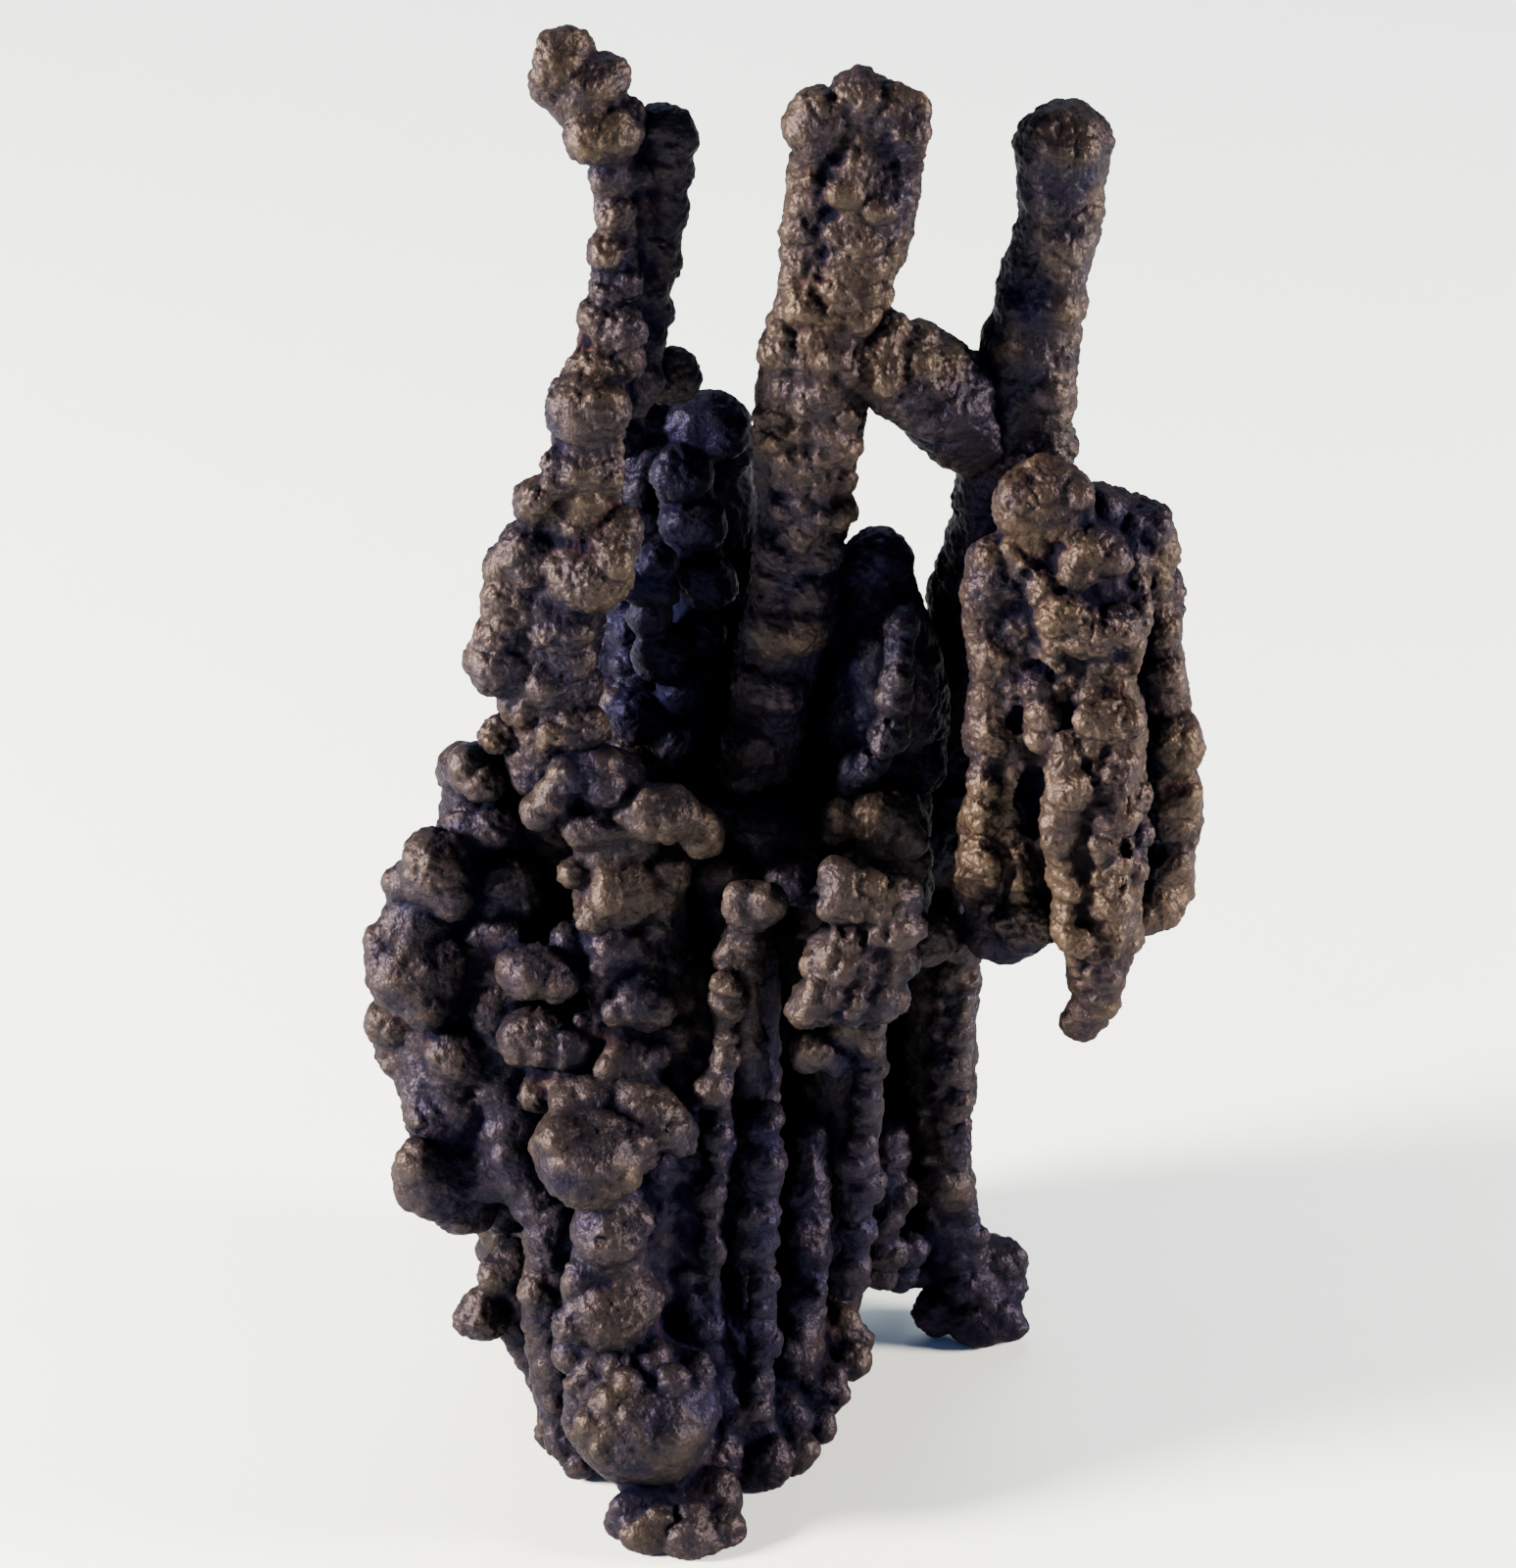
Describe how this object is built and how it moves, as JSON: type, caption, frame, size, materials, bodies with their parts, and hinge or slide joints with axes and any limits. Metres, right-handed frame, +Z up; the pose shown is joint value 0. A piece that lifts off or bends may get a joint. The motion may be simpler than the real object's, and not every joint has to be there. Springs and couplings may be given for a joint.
{
  "type": "stalactitic manganese oxide mineral specimen",
  "caption": "Dark knobby mineral specimen with tall finger-like stalks, a cross branch and a hanging cone cluster, standing on a flat cut at its foot",
  "frame": {"origin": "middle of the specimen's box in X and Y, on the flat cut that it stands on", "axes": "+Z is up along the stalks, +X is the viewer's right with the hanging cluster at +X, +Y points away from the viewer, from the front foot to the far side"},
  "size_m": [0.0656, 0.0482, 0.1177],
  "materials": {
    "base_cluster": "dark brownish-grey submetallic oxide, frosted with fine bumps",
    "left_stalk": "dark brownish-grey submetallic oxide, beaded",
    "back_left_stalk": "dark grey submetallic oxide, smooth nodules",
    "middle_stalk": "dark brownish-grey submetallic oxide, beaded in columns",
    "cross_branch": "dark brownish-grey submetallic oxide, lightly ringed",
    "right_stalk": "dark grey submetallic oxide, smooth and ringed",
    "inner_stalk": "dark grey submetallic oxide, smooth lobes with a rough ridge",
    "hanging_cluster": "dark brown submetallic oxide, beaded ridges round a cone"
  },
  "bodies": {
    "root": {"base_cluster": "base_cluster", "left_stalk": "left_stalk", "back_left_stalk": "back_left_stalk", "middle_stalk": "middle_stalk", "cross_branch": "cross_branch", "right_stalk": "right_stalk", "inner_stalk": "inner_stalk", "hanging_cluster": "hanging_cluster"}
  },
  "joints": []
}
